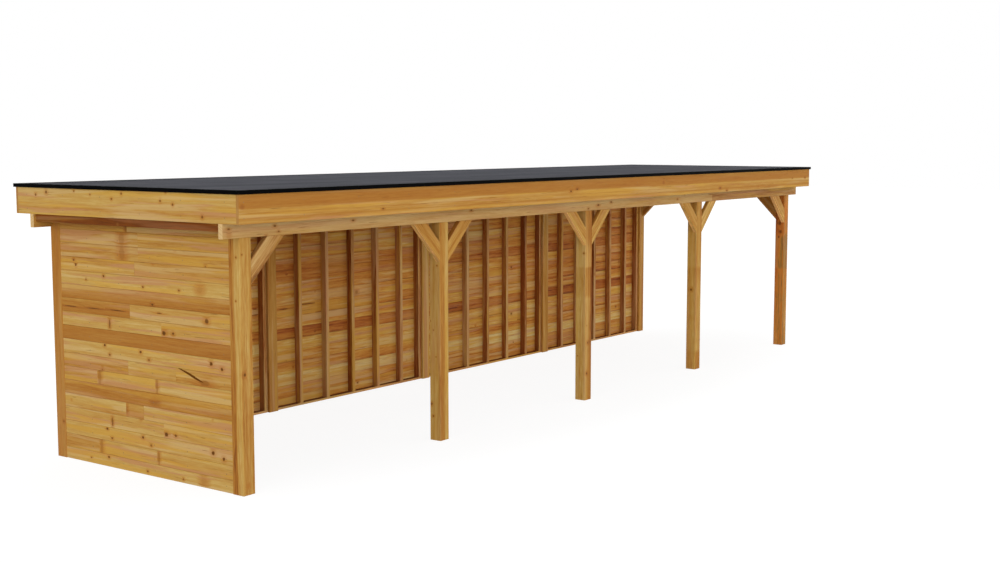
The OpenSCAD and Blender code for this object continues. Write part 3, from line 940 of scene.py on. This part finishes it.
# %% [markdown]
# ## A shake in one board
# One board of the left end has split where it dried: a dark slanting line as long as a
# forearm, widest towards its lower end. A scratch in the colour would do from here, but a split
# has a depth. It is made as a slim closed wedge that lies in the board's face: its half
# width swells and tapers along the line, and a low ridge marks where the fibres lifted.

# %% Shake
SHAKE_START, SHAKE_END = (1.45, 0.914), (1.735, 0.832)
SHAKE_WIDE, SHAKE_PROUD = 0.0130, 0.0006


def wedge(start, end, wide, proud, steps=28):
    """Grid of steps by 4 round a line in the (along, up) plane: the half width is wide times
    sin(pi s) to the power 0.7 with s the share of the way, bent by a slow wave, and the
    outer edge stands proud."""
    s = np.linspace(0, 1, steps)
    way = np.array(end) - np.array(start)
    line = np.array(start) + s[:, None] * way
    ahead = way / np.hypot(*way)
    side = np.array([-ahead[1], ahead[0]])
    line = line + side * (0.003 * np.sin(5.5 * s))[:, None]
    half = wide * np.sin(np.pi * (0.02 + 0.96 * s)) ** 0.7 * (0.7 + 0.4 * s)
    ring = np.empty((steps, 4, 3))
    for k, (across, out) in enumerate(((-1, -0.002), (1, -0.002), (0.8, proud), (-0.8, proud))):
        ring[:, k, :2] = line + side * (across * half)[:, None]
        ring[:, k, 2] = out
    return ring


ring = wedge(SHAKE_START, SHAKE_END, SHAKE_WIDE, SHAKE_PROUD)
steps = len(ring)
sides = faces_round(steps, 4)
caps = [[3, 2, 1, 0], [(steps - 1) * 4 + k for k in range(4)]]
face_at = np.array((wall_low.x, wall_high.y, 0.0))
dark = Recipe("shake_wood")
depth = dark.noise(dark.place(), (90.0, 90.0, 260.0), 3.0, 0.6)
dark.finish(dark.ramp(depth, [(0.35, tint(84, 46, 4)), (0.75, tint(124, 74, 16))]), 0.9, 0.1)
dark.bump(depth, 0.001)
shake = new_piece("board_shake", face_at + ring.reshape(-1, 3) @ np.array(LEFT_FACE, float),
                  sides[:, ::-1].tolist() + caps, dark.material)

# %% [markdown]
# ## Roof sheet
# The roof is one dark rubber sheet, rolled out along the veranda in three widths that lap
# over each other. It isn't quite flat: it follows the roof boards in slow shallow waves, and
# each lap stands a little proud. So its top is a grid of heights rather than a plane.

# %% Roof sheet
LAPS, LAP_WIDTH, LAP_RISE = (-0.45, 0.43), 0.08, 0.0012
WAVE, UNDER_TRIM = 0.0010, 0.030

sheet_low, sheet_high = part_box("roof_sheet")


def sheet_height(x, y):
    """Height over the sheet's flat top: two long waves and a short one, all at or below
    zero, plus a step of LAP_RISE that fades in over 4 mm at each lap; nothing under trim."""
    wave = np.sin(1.9 * x + 0.7 * y) + np.sin(0.8 * x - 2.6 * y + 1.0) + 0.6 * np.sin(4.3 * y)
    crest = 2.6  # the three waves' heights together
    height = WAVE * (wave - crest) / crest
    for lap in LAPS:
        inside = np.clip((LAP_WIDTH / 2 - np.abs(y - lap)) / 0.004 + 0.5, 0, 1)
        height = height + LAP_RISE * inside
    rim = np.minimum(np.minimum(x - sheet_low.x, sheet_high.x - x),
                     np.minimum(y - sheet_low.y, sheet_high.y - y))
    return height * np.clip((rim - UNDER_TRIM) / 0.05, 0, 1)


sheet_x = np.linspace(sheet_low.x, sheet_high.x, 160)
sheet_y = np.linspace(sheet_low.y, sheet_high.y, 64)
for lap in LAPS:
    for edge in (lap - LAP_WIDTH / 2, lap + LAP_WIDTH / 2):
        sheet_y = np.concatenate([sheet_y, edge + np.array([-0.003, 0.003])])
sheet_y = np.sort(sheet_y)
grid_x, grid_y = np.meshgrid(sheet_x, sheet_y, indexing="ij")
top = np.stack([grid_x, grid_y, sheet_high.z + sheet_height(grid_x, grid_y)], -1)
bottom = np.stack([grid_x, grid_y, np.full_like(grid_x, sheet_low.z)], -1)


def slab(name, top, bottom):
    """Closes two grids of the same size into a slab: top faces up, bottom faces down, and a
    wall of one row of faces joins their rims."""
    rows, columns = top.shape[:2]
    up, count = grid_faces(rows, columns), rows * columns
    rim = np.concatenate([
        np.arange(rows) * columns, (rows - 1) * columns + np.arange(1, columns),
        np.arange(rows - 2, -1, -1) * columns + columns - 1, np.arange(columns - 2, 0, -1)])
    following = np.roll(rim, -1)
    wall = np.stack([rim, rim + count, following + count, following], 1)[:, ::-1]
    points = np.concatenate([top.reshape(-1, 3), bottom.reshape(-1, 3)])
    faces = np.concatenate([up, up[:, ::-1] + count, wall])
    return new_piece(name, points, faces.tolist())


sheet = slab("rubber_sheet", top, bottom)
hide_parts("roof_sheet")
print("rubber sheet", len(sheet.data.polygons), "faces")

rubber = Recipe("roof_rubber")
place = rubber.place()
streak = rubber.noise(place, (0.5, 5.0, 1.0), 4.0, 0.6)
cloud = rubber.noise(place, (1.6, 2.2, 1.0), 4.0, 0.6)
grain = rubber.noise(place, (300.0, 300.0, 300.0), 1.0)
shade = rubber.linear(streak, 0.55, rubber.times(cloud, 0.45))
shade = rubber.swing(grain, 0.15, shade)
greys = [(0.30, tint(58, 59, 66)), (0.50, tint(74, 75, 82)), (0.70, tint(92, 93, 100))]
rubber.finish(rubber.ramp(shade, greys), rubber.linear(cloud, 0.2, 0.72), 0.06)
rubber.bump(grain, 0.0004, 0.5)
sheet.data.materials.append(rubber.material)

# %% [markdown]
# ## Edge trim
# Black painted metal caps the fascias all round. Its shape is in the frame already, so here
# it only gets its paint: nearly black, a little dusty, with the fine bumps of sprayed paint.

# %% Edge trim
trim_paint = Recipe("trim_paint")
place = trim_paint.place()
dust = trim_paint.noise(place, (3.0, 3.0, 9.0), 4.0, 0.6)
orange_peel = trim_paint.noise(place, (420.0, 420.0, 420.0), 1.0)
trim_paint.finish(
    trim_paint.ramp(dust, [(0.35, tint(3, 3, 4)), (0.75, tint(10, 10, 10))]),
    trim_paint.linear(dust, 0.25, 0.42), 0.01)
trim_paint.bump(orange_peel, 0.0001, 0.4)
dress(trim_paint.material, "front_trim", "rear_trim", "left_trim", "right_trim")

# %% [markdown]
# ## Screws
# Boards and fascias are screwed to what is behind them. A screw shows its countersunk head:
# an 8 mm disc with a round socket, a hair proud of the wood. There are hundreds, so one head
# of a few dozen faces is worked out once, and the array of its points is added to the array
# of places in a single step.

# %% Screw heads
HEAD_SIDES = 8
HEAD_RINGS = [  # (radius, height over the wood), in millimetres
    (3.9, -0.8), (3.9, 0.1), (3.3, 0.5), (1.7, 0.5), (1.4, -0.5),
]


def screw_heads(name, places, outward):
    """Joins a screw head at every place. Ring k has HEAD_SIDES points at its radius r and
    height h: place + r (cos a, sin a) in the face + h outward, with a = 2 pi i / sides."""
    outward = np.array(outward, float)
    across = np.cross(outward, (0, 0, 1)) if abs(outward[2]) < 0.5 else np.array((1.0, 0, 0))
    upward = np.cross(across, outward)
    turn = np.arange(HEAD_SIDES) * 2 * np.pi / HEAD_SIDES
    radius, height = np.array(HEAD_RINGS).T[:, :, None] / 1000
    head = (radius[..., None] * (np.cos(turn)[None, :, None] * across
                                 + np.sin(turn)[None, :, None] * upward)
            + height[..., None] * outward).reshape(-1, 3)
    sides = faces_round(len(HEAD_RINGS), HEAD_SIDES)
    places = np.array(places, float).reshape(-1, 3)
    points = (places[:, None] + head[None]).reshape(-1, 3)
    first = (np.arange(len(places)) * len(head))[:, None, None]
    walls = (sides[None] + first).reshape(-1, 4)
    under = np.arange(HEAD_SIDES)[::-1][None] + first[:, 0]
    socket = np.arange(HEAD_SIDES)[None] + (len(HEAD_RINGS) - 1) * HEAD_SIDES + first[:, 0]
    faces = walls.tolist() + under.tolist() + socket.tolist()
    piece = new_piece(name, points, faces, zinc.material)
    print(name, len(places), "screws,", len(faces), "faces")


zinc = Recipe("screw_zinc")
dull = zinc.noise(zinc.place(), (60.0, 60.0, 60.0), 2.0)
zinc.set(zinc.shader["Base Color"], zinc.ramp(dull, [(0.3, tint(96, 84, 62)),
                                                     (0.7, tint(148, 134, 104))]))
zinc.set(zinc.shader["Metallic"], 0.8)
zinc.set(zinc.shader["Roughness"], zinc.linear(dull, 0.3, 0.35))
zinc.bump(dull, 0.0002, 0.4)

# %% [markdown]
# The places come from the pieces themselves: a stud's middle is where its two faces' mesh
# points lie on either side, and each board gets one screw per stud, a third up from its edge.

# %% Places of the screws
SUNK = 0.0004  # how far a head lies back in the face of a board
SHARE_UP, LOWEST = 0.36, 0.05  # up a full board, and over the ground on the lowest one
FASCIA_SHARES, FROM_CORNER, SIDE_SCREWS = (0.18, 0.66), 0.15, 6


def grid_of(first, second, third):
    """Every combination of three rows of coordinates, as points."""
    return np.stack(np.meshgrid(first, second, third, indexing="ij"), -1).reshape(-1, 3)


full_courses = len(BACK_TONES) - 2  # all but the lowest and the highest
course_z = np.array([LOWEST, *(FIRST + COVER * (k + SHARE_UP) for k in range(full_courses))])
left_studs, rear_studs = stick_middles("left_wall_studs", 1), stick_middles("rear_wall_studs", 0)
back_high, rear_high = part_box("rear_wall_boards_1")[1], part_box("rear_fascia")[1]
left_x, right_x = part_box("left_fascia")[0].x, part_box("right_fascia")[1].x
fascia_z = front_low.z + (front_high.z - front_low.z) * np.array(FASCIA_SHARES)
side_y = np.linspace(front_low.y + FROM_CORNER, rear_high.y - FROM_CORNER, SIDE_SCREWS)
print(len(left_studs), "left studs and", len(rear_studs), "rear studs")
for name, first, second, third, outward in (
    ("left_board", [wall_low.x + SUNK], left_studs, course_z, (-1, 0, 0)),
    ("back_board", rear_studs, [back_high.y - SUNK], course_z, (0, 1, 0)),
    ("front_fascia", joist_x, [front_low.y], fascia_z, (0, -1, 0)),
    ("rear_fascia", joist_x, [rear_high.y], fascia_z, (0, 1, 0)),
    ("left_fascia", [left_x], side_y, fascia_z, (-1, 0, 0)),
    ("right_fascia", [right_x], side_y, fascia_z, (1, 0, 0)),
):
    screw_heads(f"{name}_screws", grid_of(first, second, third), outward)
